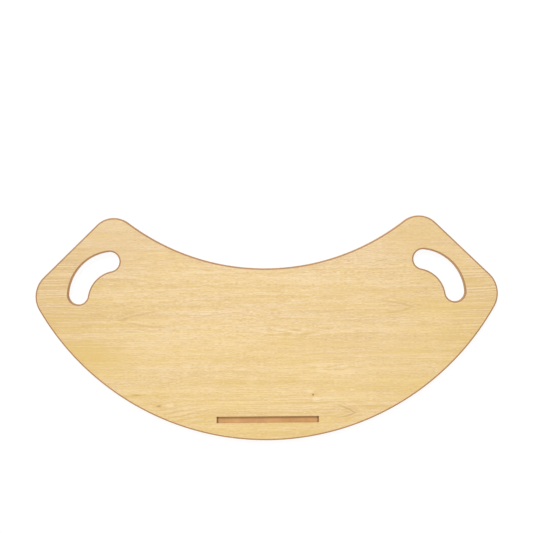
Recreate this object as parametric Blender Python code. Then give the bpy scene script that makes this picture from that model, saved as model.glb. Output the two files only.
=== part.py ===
"""Lap desk: a crescent board that lies across the arms of a chair, in metres, +Z up.

The origin is on the surface that the pads stand on, under the middle of the board. +X runs along the
board's long side, and +Y points to the sitter, whose waist fits the hollow edge. Left means -X.

Every outline is a row of tangent arcs. Moving such a row into the board keeps the arcs' centres and
angles and only changes their radii, so a rounded edge is the same outline drawn again at each level.
"""
import math

import bmesh
import bpy

# Board outline
BOARD_WIDTH = 0.882            # across the two outer corners
BOARD_WAIST_DEPTH = 0.328      # on the centre line, from the front edge to the hollow edge
FRONT_RADIUS = 0.5005          # long bulging edge away from the sitter
WAIST_RADIUS = 0.432           # hollow edge round the sitter
CORNER_RADIUS = 0.052          # where the front edge turns into an end edge
EAR_RADIUS = 0.046             # where an end edge turns into the hollow edge
END_EDGE_ANGLE = 46.0          # degrees from +X to the way that the right end edge faces

# Board layers
BOARD_THICKNESS = 0.012
LAMINATE_THICKNESS = 0.0007    # decorative sheet on top, and the balancing sheet below
GLUE_LINE = 0.0003             # between two layers, and between the board and a pad
EDGE_ROUND = 0.003             # round-over along every edge that a hand meets

# Hand holes, one beside each end edge
HOLE_LENGTH = 0.124            # over both round ends
HOLE_END_WIDTH = 0.037         # diameter of a round end
HOLE_OUTER_RADIUS = 0.087      # wall that follows the end edge
HOLE_INNER_RADIUS = 0.058      # wall that bulges into the hole
HOLE_GRIP = 0.0345             # wood left between the hole and the end edge
HOLE_SHIFT = 0.0052            # from the middle of the end edge towards the corner
HOLE_TURN = -2.0               # degrees that the hole is turned against its end edge

# Groove that a tablet or a telephone stands in
GROOVE_LENGTH = 0.195
GROOVE_WIDTH = 0.012
GROOVE_DEPTH = 0.006
GROOVE_FROM_FRONT = 0.034      # wood left in front of the groove, on the centre line

# Pads under the board
PAD_DIAMETER = 0.026
PAD_HEIGHT = 0.003
PAD_EDGE_ROUND = 0.0008
PAD_INSET = 0.034              # from the board's edge to a pad's centre
FRONT_PAD_ANGLE = 14.0         # degrees along the front edge, from the centre line
ARM_PAD_ANGLE = 20.0           # the same, back from where the front edge meets a corner

# Fineness
CHORD_ERROR = 0.0001           # a straight step leaves its arc by no more than this
ROUND_STEPS = 4                # steps in a quarter of a rounded edge
LEAST_STEP = 0.00002           # levels or points closer than this count as one
CUTTER_MARGIN = 0.002          # how far a cutter reaches past the face that it opens
SHARP_ANGLE = math.radians(30)

UP = math.pi / 2
DOWN = -math.pi / 2

# Heights of the board's layers
BOARD_BOTTOM = PAD_HEIGHT + GLUE_LINE
BOARD_TOP = BOARD_BOTTOM + BOARD_THICKNESS
CORE_BOTTOM = BOARD_BOTTOM + LAMINATE_THICKNESS + GLUE_LINE
CORE_TOP = BOARD_TOP - LAMINATE_THICKNESS - GLUE_LINE


def polar(centre, radius, angle):
    """Point at a distance and an angle from a centre."""
    return (centre[0] + radius * math.cos(angle), centre[1] + radius * math.sin(angle))


def heading(start, end):
    """Angle of the way from one point to another."""
    return math.atan2(end[1] - start[1], end[0] - start[0])


# An arc is its centre, radius, first angle, last angle and side. The side is 1 where the board lies
# inside the circle, and -1 where it lies outside.

def arc_points(arc, inset):
    """Points along an arc that is moved into the board by inset, one of them at its middle."""
    centre, radius, first, last, side = arc
    step = 2 * math.acos(1 - CHORD_ERROR / radius)
    count = 2 * math.ceil(abs(last - first) / (2 * step))
    angles = [first + (last - first) * index / count for index in range(count + 1)]
    return [polar(centre, radius - side * inset, angle) for angle in angles]


def mirrored(arcs):
    """The same arcs on the other side of the centre line, still in running order."""
    result = []
    for (x, y), radius, first, last, side in reversed(arcs):
        result.append(((-x, y), radius, math.pi - last, math.pi - first, side))
    return result


def closed_loop(arcs, inset):
    """Closed outline along a row of arcs, where a point that two arcs share is kept once."""
    points = []
    for arc in arcs:
        for point in arc_points(arc, inset):
            if not points or math.dist(point, points[-1]) > LEAST_STEP:
                points.append(point)
    if math.dist(points[0], points[-1]) < LEAST_STEP:
        points.pop()
    return points


# Board outline, with its front edge at y = 0 on the centre line

END_NORMAL = math.radians(END_EDGE_ANGLE)
FRONT_CENTRE = (0.0, FRONT_RADIUS)
WAIST_CENTRE = (0.0, BOARD_WAIST_DEPTH + WAIST_RADIUS)


def corner_centre():
    """Centre of the right corner, which touches the front arc from inside and the board's width."""
    x = BOARD_WIDTH / 2 - CORNER_RADIUS
    return (x, FRONT_CENTRE[1] - math.sqrt((FRONT_RADIUS - CORNER_RADIUS) ** 2 - x ** 2))


def ear_centre():
    """Centre of the right ear, which touches the end edge from inside and the waist arc from outside.

    It lies on the line parallel to the end edge, where that line first meets the circle round the
    waist's centre with both radii added.
    """
    start = polar(corner_centre(), CORNER_RADIUS - EAR_RADIUS, END_NORMAL)
    along = END_NORMAL + UP
    reach = math.dist(start, WAIST_CENTRE)
    lean = heading(start, WAIST_CENTRE) - along
    off_line = reach * math.sin(lean)
    travel = reach * math.cos(lean) - math.sqrt((WAIST_RADIUS + EAR_RADIUS) ** 2 - off_line ** 2)
    return polar(start, travel, along)


CORNER_CENTRE = corner_centre()
EAR_CENTRE = ear_centre()
FRONT_END = heading(FRONT_CENTRE, CORNER_CENTRE)
EAR_END = heading(EAR_CENTRE, WAIST_CENTRE)
BOARD_DEPTH = EAR_CENTRE[1] + EAR_RADIUS


def board_arcs():
    """Outer edge, anticlockwise: front, right corner and ear, waist, left ear and corner."""
    right = [
        (CORNER_CENTRE, CORNER_RADIUS, FRONT_END, END_NORMAL, 1),
        (EAR_CENTRE, EAR_RADIUS, END_NORMAL, EAR_END, 1),
    ]
    front = (FRONT_CENTRE, FRONT_RADIUS, 2 * DOWN - FRONT_END, FRONT_END, 1)
    waist = (WAIST_CENTRE, WAIST_RADIUS, EAR_END - math.pi, -EAR_END, -1)
    return [front] + right + [waist] + mirrored(right)


def hole_arcs():
    """Right hand hole: a bean of four arcs, drawn with its outer wall's middle at zero and facing +Y."""
    end_radius = HOLE_END_WIDTH / 2
    reach = HOLE_LENGTH / 2 - end_radius
    outer = (0.0, -HOLE_OUTER_RADIUS)
    end_y = outer[1] + math.sqrt((HOLE_OUTER_RADIUS - end_radius) ** 2 - reach ** 2)
    right = (reach, end_y)
    left = (-reach, end_y)
    inner = (0.0, end_y - math.sqrt((HOLE_INNER_RADIUS + end_radius) ** 2 - reach ** 2))
    lead = heading(outer, right)
    arcs = [
        (right, end_radius, heading(right, inner), lead, -1),
        (outer, HOLE_OUTER_RADIUS, lead, math.pi - lead, -1),
        (left, end_radius, math.pi - lead, heading(left, inner) + 2 * math.pi, -1),
        (inner, HOLE_INNER_RADIUS, heading(inner, left), heading(inner, right), 1),
    ]
    edge_start = polar(CORNER_CENTRE, CORNER_RADIUS, END_NORMAL)
    edge_end = polar(EAR_CENTRE, EAR_RADIUS, END_NORMAL)
    middle = ((edge_start[0] + edge_end[0]) / 2, (edge_start[1] + edge_end[1]) / 2)
    origin = polar(polar(middle, -HOLE_GRIP, END_NORMAL), -HOLE_SHIFT, END_NORMAL + UP)
    turn = END_NORMAL + math.radians(HOLE_TURN) - UP
    placed = []
    for centre, radius, first, last, side in arcs:
        place = polar(origin, math.hypot(*centre), math.atan2(centre[1], centre[0]) + turn)
        placed.append((place, radius, first + turn, last + turn, side))
    return placed


def board_outlines(inset):
    """The board's outer edge and both hand holes, all moved into the wood by inset."""
    hole = hole_arcs()
    return [closed_loop(arcs, inset) for arcs in (board_arcs(), hole, mirrored(hole))]


def pad_outlines(inset):
    """A pad's round edge, moved inwards by inset."""
    return [closed_loop([((0.0, 0.0), PAD_DIAMETER / 2, -math.pi, math.pi, 1)], inset)]


def rounded_levels(bottom, top, radius, low, high):
    """Levels from low to high through a slab with rounded edges, as pairs of inset and height."""
    radius = min(radius, (top - bottom) / 2)
    heights = [high]
    for index in range(ROUND_STEPS + 1):
        depth = radius * (1 - math.sin(UP * index / ROUND_STEPS))
        heights += [bottom + depth, top - depth]
    kept = [low]
    for height in sorted(heights):
        if kept[-1] + LEAST_STEP < height < high - LEAST_STEP:
            kept.append(height)
    kept.append(high)
    levels = []
    for height in kept:
        buried = max(0.0, radius - min(height - bottom, top - height))
        levels.append((radius - math.sqrt(radius ** 2 - buried ** 2), height))
    return levels


def stacked_solid(name, outlines, levels):
    """Mesh of a closed solid whose walls pass through the same outlines drawn at each level."""
    shape = bmesh.new()
    stack = []
    for inset, height in levels:
        rings = []
        for loop in outlines(inset):
            rings.append([shape.verts.new((x, y, height)) for x, y in loop])
        stack.append(rings)
    for lower, upper in zip(stack, stack[1:]):
        for low_ring, high_ring in zip(lower, upper):
            for index in range(len(low_ring)):
                shape.faces.new((low_ring[index - 1], low_ring[index],
                                 high_ring[index], high_ring[index - 1]))
    for rings in (stack[0], stack[-1]):
        rim = []
        for ring in rings:
            rim += [shape.edges.get((ring[index - 1], ring[index])) for index in range(len(ring))]
        bmesh.ops.triangle_fill(shape, use_beauty=True, edges=rim)
    bmesh.ops.recalc_face_normals(shape, faces=shape.faces)
    mesh = bpy.data.meshes.new(name)
    shape.to_mesh(mesh)
    shape.free()
    mesh.shade_smooth()
    mesh.set_sharp_from_angle(angle=SHARP_ANGLE)
    return mesh


def box_mesh(name, low, high):
    """Mesh of a box between two corners."""
    shape = bmesh.new()
    bmesh.ops.create_cube(shape, size=1.0)
    for vert in shape.verts:
        vert.co = [low[axis] + (vert.co[axis] + 0.5) * (high[axis] - low[axis]) for axis in range(3)]
    mesh = bpy.data.meshes.new(name)
    shape.to_mesh(mesh)
    shape.free()
    return mesh


def linear(channel):
    """Linear value of one 8-bit colour channel."""
    share = channel / 255
    return share / 12.92 if share <= 0.04045 else ((share + 0.055) / 1.055) ** 2.4


def finish(name, colour, roughness, metallic=0.0):
    """Principled material with an 8-bit colour."""
    material = bpy.data.materials.new(name)
    material.use_nodes = True
    shader = material.node_tree.nodes["Principled BSDF"]
    shader.inputs["Base Color"].default_value = [linear(channel) for channel in colour] + [1.0]
    shader.inputs["Roughness"].default_value = roughness
    shader.inputs["Metallic"].default_value = metallic
    return material


def add_object(name, mesh, parent, material=None, location=(0.0, 0.0, 0.0)):
    """Object for a mesh, placed under the desk's own frame."""
    if material and not mesh.materials:
        mesh.materials.append(material)
    part = bpy.data.objects.new(name, mesh)
    bpy.context.scene.collection.objects.link(part)
    part.parent = parent
    part.location = location
    return part


def desk_frame():
    """Empty that carries every piece and sets the middle of the board's depth at the origin."""
    frame = bpy.data.objects.new("lap_desk", None)
    bpy.context.scene.collection.objects.link(frame)
    frame.location = (0.0, -BOARD_DEPTH / 2, 0.0)
    return frame


def groove_cutter(frame):
    """Box that cuts the groove, open above the board's top face."""
    low = (-GROOVE_LENGTH / 2, GROOVE_FROM_FRONT, BOARD_TOP - GROOVE_DEPTH)
    high = (GROOVE_LENGTH / 2, GROOVE_FROM_FRONT + GROOVE_WIDTH, BOARD_TOP + CUTTER_MARGIN)
    cutter = add_object("groove_cutter", box_mesh("groove_cutter", low, high), frame)
    cutter.hide_render = True
    cutter.display_type = "WIRE"
    return cutter


def cut(part, cutter):
    """Takes a cutter's shape out of a piece."""
    boolean = part.modifiers.new(cutter.name, "BOOLEAN")
    boolean.operation = "DIFFERENCE"
    boolean.solver = "EXACT"
    boolean.object = cutter


def board_layer(name, low, high, material, frame):
    """One layer of the board, with its share of the rounded edges."""
    levels = rounded_levels(BOARD_BOTTOM, BOARD_TOP, EDGE_ROUND, low, high)
    return add_object(name, stacked_solid(name, board_outlines, levels), frame, material)


def core_board(frame, cutter):
    """Fibreboard that carries the load and shows brown at every edge."""
    material = finish("fibreboard", (189, 146, 105), 0.75)
    cut(board_layer("core_board", CORE_BOTTOM, CORE_TOP, material, frame), cutter)


def top_laminate(frame, cutter):
    """Thin sheet with an oak face, which the groove cuts through."""
    material = finish("oak_laminate", (234, 203, 146), 0.5)
    cut(board_layer("top_laminate", CORE_TOP + GLUE_LINE, BOARD_TOP, material, frame), cutter)


def bottom_laminate(frame):
    """The same kind of sheet below, which keeps the board from warping."""
    material = finish("balancing_laminate", (228, 199, 143), 0.55)
    board_layer("bottom_laminate", BOARD_BOTTOM, CORE_BOTTOM - GLUE_LINE, material, frame)


def pads(frame):
    """Six rubber pads at one distance from the board's edge, two of them where chair arms lie."""
    levels = rounded_levels(0.0, PAD_HEIGHT, PAD_EDGE_ROUND, 0.0, PAD_HEIGHT)
    mesh = stacked_solid("pad", pad_outlines, levels)
    material = finish("pad_rubber", (38, 38, 40), 0.8)
    along_front = FRONT_RADIUS - PAD_INSET
    places = {
        "front_pad": polar(FRONT_CENTRE, along_front, DOWN + math.radians(FRONT_PAD_ANGLE)),
        "arm_pad": polar(FRONT_CENTRE, along_front, FRONT_END - math.radians(ARM_PAD_ANGLE)),
        "ear_pad": polar(EAR_CENTRE, EAR_RADIUS - PAD_INSET, (END_NORMAL + EAR_END) / 2),
    }
    for name, (x, y) in places.items():
        add_object(name + "_right", mesh, frame, material, (x, y, 0.0))
        add_object(name + "_left", mesh, frame, material, (-x, y, 0.0))


def main():
    """Builds the lap desk in an empty scene."""
    for old in list(bpy.data.objects):
        bpy.data.objects.remove(old)
    frame = desk_frame()
    cutter = groove_cutter(frame)
    core_board(frame, cutter)
    top_laminate(frame, cutter)
    bottom_laminate(frame)
    pads(frame)


main()
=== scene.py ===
"""Finished surfaces of a crescent lap desk: its routed board, oak sheets, rubber pads and stage.

The board is three glued layers inside one rounded edge. Every outline is a row of tangent arcs, and
every edge surface is a profile carried along such an outline.
"""
import math

import bpy
import numpy as np
from bpy.props import FloatProperty, FloatVectorProperty, IntProperty, PointerProperty
from bpy.types import Operator, Panel, PropertyGroup
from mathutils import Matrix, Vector
from mathutils.geometry import delaunay_2d_cdt


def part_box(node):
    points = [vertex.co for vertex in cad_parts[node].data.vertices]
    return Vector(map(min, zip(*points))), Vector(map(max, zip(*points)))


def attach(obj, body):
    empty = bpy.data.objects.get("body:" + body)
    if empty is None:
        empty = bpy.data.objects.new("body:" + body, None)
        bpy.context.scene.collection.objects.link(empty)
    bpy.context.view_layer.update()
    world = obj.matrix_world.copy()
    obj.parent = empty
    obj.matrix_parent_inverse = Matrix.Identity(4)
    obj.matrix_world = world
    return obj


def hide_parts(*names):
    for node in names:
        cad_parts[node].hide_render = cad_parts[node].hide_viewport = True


bl_info = {
    "name": "Lap Desk",
    "version": (1, 0, 0),
    "blender": (4, 5, 0),
    "location": "3D View > Sidebar > Lap Desk",
    "description": "Builds the finished surfaces of a crescent lap desk, its lights and its camera",
    "category": "Object",
}

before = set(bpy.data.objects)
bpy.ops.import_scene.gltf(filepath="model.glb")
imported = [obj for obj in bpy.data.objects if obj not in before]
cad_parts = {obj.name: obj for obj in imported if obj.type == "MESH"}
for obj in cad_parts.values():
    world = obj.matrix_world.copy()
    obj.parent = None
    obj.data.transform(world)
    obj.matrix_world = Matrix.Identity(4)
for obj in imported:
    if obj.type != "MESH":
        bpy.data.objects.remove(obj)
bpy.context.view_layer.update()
BODY = "root"

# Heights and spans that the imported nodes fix
CORE_LOW, CORE_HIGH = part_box("core_board")
TOP_LOW, TOP_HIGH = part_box("top_laminate")
BACK_LOW, BACK_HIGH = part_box("bottom_laminate")
BOARD_BOTTOM = BACK_LOW.z
BOARD_TOP = TOP_HIGH.z
PADS = {name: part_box(name) for name in sorted(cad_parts) if "_pad_" in name}

QUARTER = math.pi / 2
FULL_TURN = 2 * math.pi

# Side of an arc's circle that the wood is on, and the way that a flat face looks
INSIDE, OUTSIDE = 1, -1
UP, DOWN = 1, -1

# Numbers of a piece's materials. The other one is in the core's groove and along a sheet's edges.
MAIN, OTHER = 0, 1

# Points and heights that are nearer than this, in metres, count as one
SAME_POINT = 1e-6
SAME_HEIGHT = 1e-5
HEIGHT_DIGITS = 7

# Kinds of a node group's sockets
NUMBER = "NodeSocketFloat"
VECTOR = "NodeSocketVector"

# Blender's triangulation: the kind that fills between constraints and leaves holes open, and the
# distance under which it joins points
FILL_WITH_HOLES = 2
JOIN_WITHIN = 1e-9


def length(name, default, description):
    """Property for a length in metres."""
    return FloatProperty(name=name, description=description, default=default,
                         min=0.0, subtype="DISTANCE", unit="LENGTH", precision=4)


def angle(name, degrees, description):
    """Property for an angle, given in degrees."""
    return FloatProperty(name=name, description=description, default=math.radians(degrees),
                         subtype="ANGLE", unit="ROTATION")


def light_level(name, default, description):
    """Property for how strong a light or a glow is."""
    return FloatProperty(name=name, description=description, default=default, min=0.0)


def colour(name, default, description):
    """Property for a surface colour, given as 8-bit values of the screen."""
    return FloatVectorProperty(name=name, description=description, default=linear(default),
                               size=3, min=0.0, max=1.0, subtype="COLOR")


def linear(channels):
    """Linear light of 8-bit screen values, by the usual curve of screens."""
    share = np.array(channels, float) / 255
    low = share / 12.92
    high = ((share + 0.055) / 1.055) ** 2.4
    return tuple(float(value) for value in np.where(share <= 0.04045, low, high))


class LapDeskOutline(PropertyGroup):
    """Sizes that draw the board's edge, its hand holes and its groove."""

    waist_depth: length("Depth at Waist", 0.328, "From the front edge to the hollow edge")
    front_radius: length("Front Radius", 0.5005, "Long bulging edge")
    waist_radius: length("Waist Radius", 0.432, "Hollow edge round the sitter")
    corner_radius: length("Corner Radius", 0.052, "Between the front edge and an end edge")
    ear_radius: length("Ear Radius", 0.046, "Between an end edge and the hollow edge")
    end_edge_angle: angle("End Edge Angle", 46.0, "Way that the right end edge faces, from +X")
    edge_round: length("Edge Round", 0.003, "Round-over along the board's edges")
    hole_length: length("Hole Length", 0.124, "Hand hole over both round ends")
    hole_end_width: length("Hole End Width", 0.037, "Diameter of a hand hole's round end")
    hole_outer_radius: length("Hole Outer Radius", 0.087, "Wall that follows the end edge")
    hole_inner_radius: length("Hole Inner Radius", 0.058, "Wall that bulges into the hole")
    hole_grip: length("Grip", 0.0345, "Wood between a hand hole and its end edge")
    hole_shift: length("Hole Shift", 0.0052, "From the end edge's middle towards the corner")
    hole_turn: angle("Hole Turn", -2.0, "Turn of a hand hole against its end edge")
    groove_length: length("Groove Length", 0.195, "Tablet groove, end to end")
    groove_width: length("Groove Width", 0.012, "Tablet groove, across")
    groove_depth: length("Groove Depth", 0.006, "Tablet groove, below the face")
    groove_from_front: length("Groove from Front", 0.034, "Wood in front of the groove")
    chord_error: length("Chord Error", 0.00001, "Most that a straight step leaves its arc")
    round_steps: IntProperty(name="Round Steps", description="Steps in a quarter of an edge",
                             default=10, min=2)
    pad_round: length("Pad Round", 0.0008, "Round-over along the lower edge of a pad")


class LapDeskFinish(PropertyGroup):
    """Colours of the desk's surfaces."""

    oak_light: colour("Oak Light", (252, 225, 183), "Palest wood between the grain lines")
    oak_dark: colour("Oak Dark", (227, 191, 132), "Grain lines")
    oak_honey: colour("Oak Honey", (242, 208, 120), "Warmer streaks between the paler ones")
    oak_pore: colour("Oak Pore", (178, 132, 72), "Open pores and the heart of a knot")
    fibre_light: colour("Fibreboard Light", (221, 174, 120), "Routed fibreboard")
    fibre_dark: colour("Fibreboard Dark", (187, 139, 93), "Scorched and sealed fibreboard")
    groove_light: colour("Groove Light", (222, 176, 114), "Routed groove")
    groove_dark: colour("Groove Dark", (190, 140, 84), "Scorched streaks in the groove")
    # Painted shade: the colour towards which the groove's ends are darkened, where their walls would
    # shade the floor
    groove_painted_shade: colour("Groove Scorch", (160, 112, 64), "Ends of the groove")
    sheet_edge: colour("Sheet Edge", (168, 122, 82), "Cut edge of the laminate")
    rubber: colour("Rubber", (38, 38, 40), "Moulded pads")
    floor: colour("Floor", (255, 255, 255), "Floor and backdrop")


class LapDeskView(PropertyGroup):
    """Place of the camera and level of the lights."""

    camera_height: length("Camera Height", 1.9866, "Above the board's face")
    camera_x: FloatProperty(name="Camera X", description="Camera along the board", default=0.0001)
    camera_y: FloatProperty(name="Camera Y", description="Camera across the board", default=0.1182)
    camera_roll: angle("Camera Roll", -0.50, "Turn of the picture about its middle")
    lens: FloatProperty(name="Lens", description="Focal length in millimetres", default=70.44)
    sky: light_level("Sky", 0.26, "Light from all round")
    key: light_level("Key", 1.71, "Light from the sitter's side, in watts a square metre")
    fill: light_level("Fill", 1.50, "Low light from the front, in watts a square metre")
    top: light_level("Top", 4.0, "Power of the lamp over the board, in watts")
    floor_light: light_level("Floor Light", 0.80, "Light that the floor sends back up")
    backdrop: FloatProperty(name="Backdrop", description="Share of plain white in the floor's look",
                            default=0.86, min=0.0, max=1.0, subtype="FACTOR")
    glow: light_level("Glow", 1.05, "Level of that plain white")


# Outlines

def heading(start, end):
    """Angle of the way from one point to another."""
    return math.atan2(end[1] - start[1], end[0] - start[0])


def polar(centre, radius, turn):
    """Point at a distance and an angle from a centre."""
    return (centre[0] + radius * math.cos(turn), centre[1] + radius * math.sin(turn))


def mirrored(arcs):
    """The same arcs on the other side of the centre line, in running order."""
    return [((-x, y), radius, math.pi - last, math.pi - first, side)
            for (x, y), radius, first, last, side in reversed(arcs)]


def outline_path(arcs, chord_error):
    """Points of a closed row of tangent arcs, their outward normals and the run along it.

    An arc is its centre, radius, first angle, last angle and side. Its points are the centre plus
    the radius times the cosine and sine of each angle from the first to the last, and a normal is
    that cosine and sine times the side. The path runs with the wood on its left.
    """
    points, normals = [], []
    for centre, radius, first, last, side in arcs:
        step = 2 * math.acos(1 - chord_error / radius)
        count = 2 * max(2, math.ceil(abs(last - first) / (2 * step)))
        turns = np.linspace(first, last, count + 1)
        ways = np.column_stack((np.cos(turns), np.sin(turns)))
        points.append(np.array(centre) + radius * ways)
        normals.append(side * ways)
    points, normals = np.vstack(points), np.vstack(normals)
    gaps = np.linalg.norm(points - np.roll(points, 1, axis=0), axis=1)
    kept = gaps > SAME_POINT
    points, normals = points[kept], normals[kept]
    ways = np.roll(points, -1, axis=0) - points
    if np.sum(np.cross(ways, normals)) > 0:
        points, normals = points[::-1], normals[::-1]
    steps = np.linalg.norm(np.roll(points, -1, axis=0) - points, axis=1)
    run = np.concatenate(([0.0], np.cumsum(steps)))
    return points, normals, run


def board_paths(size):
    """Paths of the board's outer edge and of the right and left hand holes, at the wall."""
    width = CORE_HIGH.x - CORE_LOW.x
    normal = size.end_edge_angle
    front = (0.0, size.front_radius)
    waist = (0.0, size.waist_depth + size.waist_radius)
    corner_x = width / 2 - size.corner_radius
    corner = (corner_x, front[1] - math.sqrt((size.front_radius - size.corner_radius) ** 2
                                             - corner_x ** 2))
    start = polar(corner, size.corner_radius - size.ear_radius, normal)
    lean = heading(start, waist) - normal - QUARTER
    reach = math.dist(start, waist)
    travel = reach * math.cos(lean) - math.sqrt((size.waist_radius + size.ear_radius) ** 2
                                                - (reach * math.sin(lean)) ** 2)
    ear = polar(start, travel, normal + QUARTER)
    front_end, ear_end = heading(front, corner), heading(ear, waist)
    right = [(corner, size.corner_radius, front_end, normal, INSIDE),
             (ear, size.ear_radius, normal, ear_end, INSIDE)]
    outer = [(front, size.front_radius, -math.pi - front_end, front_end, INSIDE)] + right
    outer += [(waist, size.waist_radius, ear_end - math.pi, -ear_end, OUTSIDE)] + mirrored(right)
    edge_start = polar(corner, size.corner_radius, normal)
    edge_end = polar(ear, size.ear_radius, normal)
    middle = ((edge_start[0] + edge_end[0]) / 2, (edge_start[1] + edge_end[1]) / 2)
    hole = hole_arcs(size, middle)
    shift = np.array((0.0, -(ear[1] + size.ear_radius) / 2))
    paths = []
    for arcs in (outer, hole, mirrored(hole)):
        points, normals, run = outline_path(arcs, size.chord_error)
        paths.append((points + shift, normals, run))
    return paths


def hole_arcs(size, edge_middle):
    """Right hand hole, a bean of two round ends, a long outer arc and an arc that bulges inwards."""
    end_radius = size.hole_end_width / 2
    reach = size.hole_length / 2 - end_radius
    outer = (0.0, -size.hole_outer_radius)
    end_y = outer[1] + math.sqrt((size.hole_outer_radius - end_radius) ** 2 - reach ** 2)
    right, left = (reach, end_y), (-reach, end_y)
    inner = (0.0, end_y - math.sqrt((size.hole_inner_radius + end_radius) ** 2 - reach ** 2))
    lead = heading(outer, right)
    arcs = [
        (right, end_radius, heading(right, inner), lead, OUTSIDE),
        (outer, size.hole_outer_radius, lead, math.pi - lead, OUTSIDE),
        (left, end_radius, math.pi - lead, heading(left, inner) + FULL_TURN, OUTSIDE),
        (inner, size.hole_inner_radius, heading(inner, left), heading(inner, right), INSIDE),
    ]
    normal = size.end_edge_angle
    origin = polar(polar(edge_middle, -size.hole_grip, normal), -size.hole_shift, normal + QUARTER)
    turn = normal + size.hole_turn - QUARTER
    return [(polar(origin, math.hypot(*centre), heading((0.0, 0.0), centre) + turn),
             radius, first + turn, last + turn, side)
            for centre, radius, first, last, side in arcs]


def groove_corners(size):
    """Corners of the groove's square outline, with the wood on its right."""
    front_y = CORE_LOW.y + size.groove_from_front
    half = size.groove_length / 2
    low, high = np.array((-half, front_y)), np.array((half, front_y + size.groove_width))
    return np.array([(low[0], low[1]), (high[0], low[1]), (high[0], high[1]), (low[0], high[1])])


# Patches. A patch is its points, its faces as rows of point numbers, a normal and a UV pair for each
# corner of each face, and the number of its material.

def edge_levels(size, low, high):
    """Inset, height and tilt of the rounded edge between two heights.

    What is left of the radius at a height is the radius less the distance from the nearer face, but
    not less than zero. The inset is the radius less the root of a difference, that of the squares of
    the radius and of what is left. The tilt is the normal's upright part, what is left over the
    radius, and points to the nearer face.
    """
    radius = size.edge_round
    turns = np.linspace(0, QUARTER, size.round_steps + 1)
    depths = radius * (1 - np.sin(turns))
    heights = np.concatenate((BOARD_BOTTOM + depths, BOARD_TOP - depths))
    inside = heights[(heights > low + SAME_HEIGHT) & (heights < high - SAME_HEIGHT)]
    heights = np.concatenate(([low], np.unique(np.round(inside, HEIGHT_DIGITS)), [high]))
    above = BOARD_TOP - heights
    below = heights - BOARD_BOTTOM
    left = np.clip(radius - np.minimum(above, below), 0, radius)
    inset = radius - np.sqrt(radius ** 2 - left ** 2)
    rise = np.where(above < below, UP, DOWN) * left / radius
    return inset, heights, rise


def pad_levels(size, low, high):
    """Inset, height and tilt of a pad's side, which is rounded along its lower edge.

    Round that edge an angle goes from zero to a right angle. The inset is the radius times one less
    its sine, the height over the pad's lower face is the radius times one less its cosine, and the
    tilt is its cosine, downwards.
    """
    turns = np.linspace(0, QUARTER, size.round_steps + 1)
    inset = size.pad_round * (1 - np.sin(turns))
    heights = low + size.pad_round * (1 - np.cos(turns))
    return np.append(inset, 0.0), np.append(heights, high), np.append(-np.cos(turns), 0.0)


def edge_patch(path, levels, material):
    """Edge surface over a path and its levels.

    A point is the path's point less the level's inset times the outward normal, at the level's
    height. Its normal is the outward one, leant by the level's tilt and still one long.
    """
    points, normals, run = path
    inset, heights, rise = levels
    count, rows = len(points), len(heights)
    flat = points[None] - inset[:, None, None] * normals[None]
    grid = np.concatenate((flat, np.broadcast_to(heights[:, None, None], (rows, count, 1))), axis=2)
    out = np.sqrt(1 - rise ** 2)[:, None, None] * normals[None]
    lean = np.concatenate((out, np.broadcast_to(rise[:, None, None], (rows, count, 1))), axis=2)
    row, column = np.meshgrid(np.arange(rows - 1), np.arange(count), indexing="ij")
    following = (column + 1) % count
    corners = [row * count + column, row * count + following,
               (row + 1) * count + following, (row + 1) * count + column]
    faces = np.stack(corners, axis=-1).reshape(-1, 4)
    climb = np.concatenate(([0.0], np.cumsum(np.hypot(np.diff(inset), np.diff(heights)))))
    along = np.stack((run[column], run[column + 1], run[column + 1], run[column]), axis=-1)
    across = np.stack((climb[row], climb[row], climb[row + 1], climb[row + 1]), axis=-1)
    uv = np.stack((along, across), axis=-1).reshape(-1, 4, 2)
    return grid.reshape(-1, 3), faces, lean.reshape(-1, 3)[faces], uv, material


def flat_patch(loops, height, facing, material):
    """Flat face at a height, filled between an outer loop and the loops of its openings."""
    flat = np.vstack(loops)
    starts = np.cumsum([0] + [len(loop) for loop in loops])
    rings = [list(range(start, end)) for start, end in zip(starts[:-1], starts[1:])]
    filled = delaunay_2d_cdt(list(map(Vector, flat)), [], rings, FILL_WITH_HOLES, JOIN_WITHIN)
    if len(filled[0]) != len(flat):
        raise RuntimeError("two loops of a flat face meet")
    faces = np.array(filled[2])
    a, b, c = (flat[faces[:, corner]] for corner in range(3))
    turn = np.cross(b - a, c - a)
    wrong = turn * facing < 0
    faces[wrong] = faces[wrong][:, ::-1]
    points = np.column_stack((flat, np.full(len(flat), height)))
    normals = np.broadcast_to((0.0, 0.0, float(facing)), (len(faces), 3, 3))
    return points, faces, normals, flat[faces], material


def wall_patch(corners, low, high, material):
    """Upright walls round an opening, one flat face between each corner and the next.

    A normal is the way from a corner to the next, turned a quarter to the left, over its length.
    """
    following = np.roll(corners, -1, axis=0)
    count = len(corners)
    points = np.concatenate([np.column_stack((corners, np.full(count, height)))
                             for height in (low, high)])
    index = np.arange(count)
    after = (index + 1) % count
    faces = np.column_stack((index, index + count, after + count, after))
    way = following - corners
    inward = np.column_stack((-way[:, 1], way[:, 0])) / np.linalg.norm(way, axis=1)[:, None]
    normals = np.repeat(np.column_stack((inward, np.zeros(count)))[:, None], 4, axis=1)
    run = np.concatenate(([0.0], np.cumsum(np.linalg.norm(way, axis=1))))
    uv = np.stack([np.column_stack((run[:-1], np.full(count, low))),
                   np.column_stack((run[:-1], np.full(count, high))),
                   np.column_stack((run[1:], np.full(count, high))),
                   np.column_stack((run[1:], np.full(count, low)))], axis=1)
    return points, faces, normals, uv, material


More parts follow.
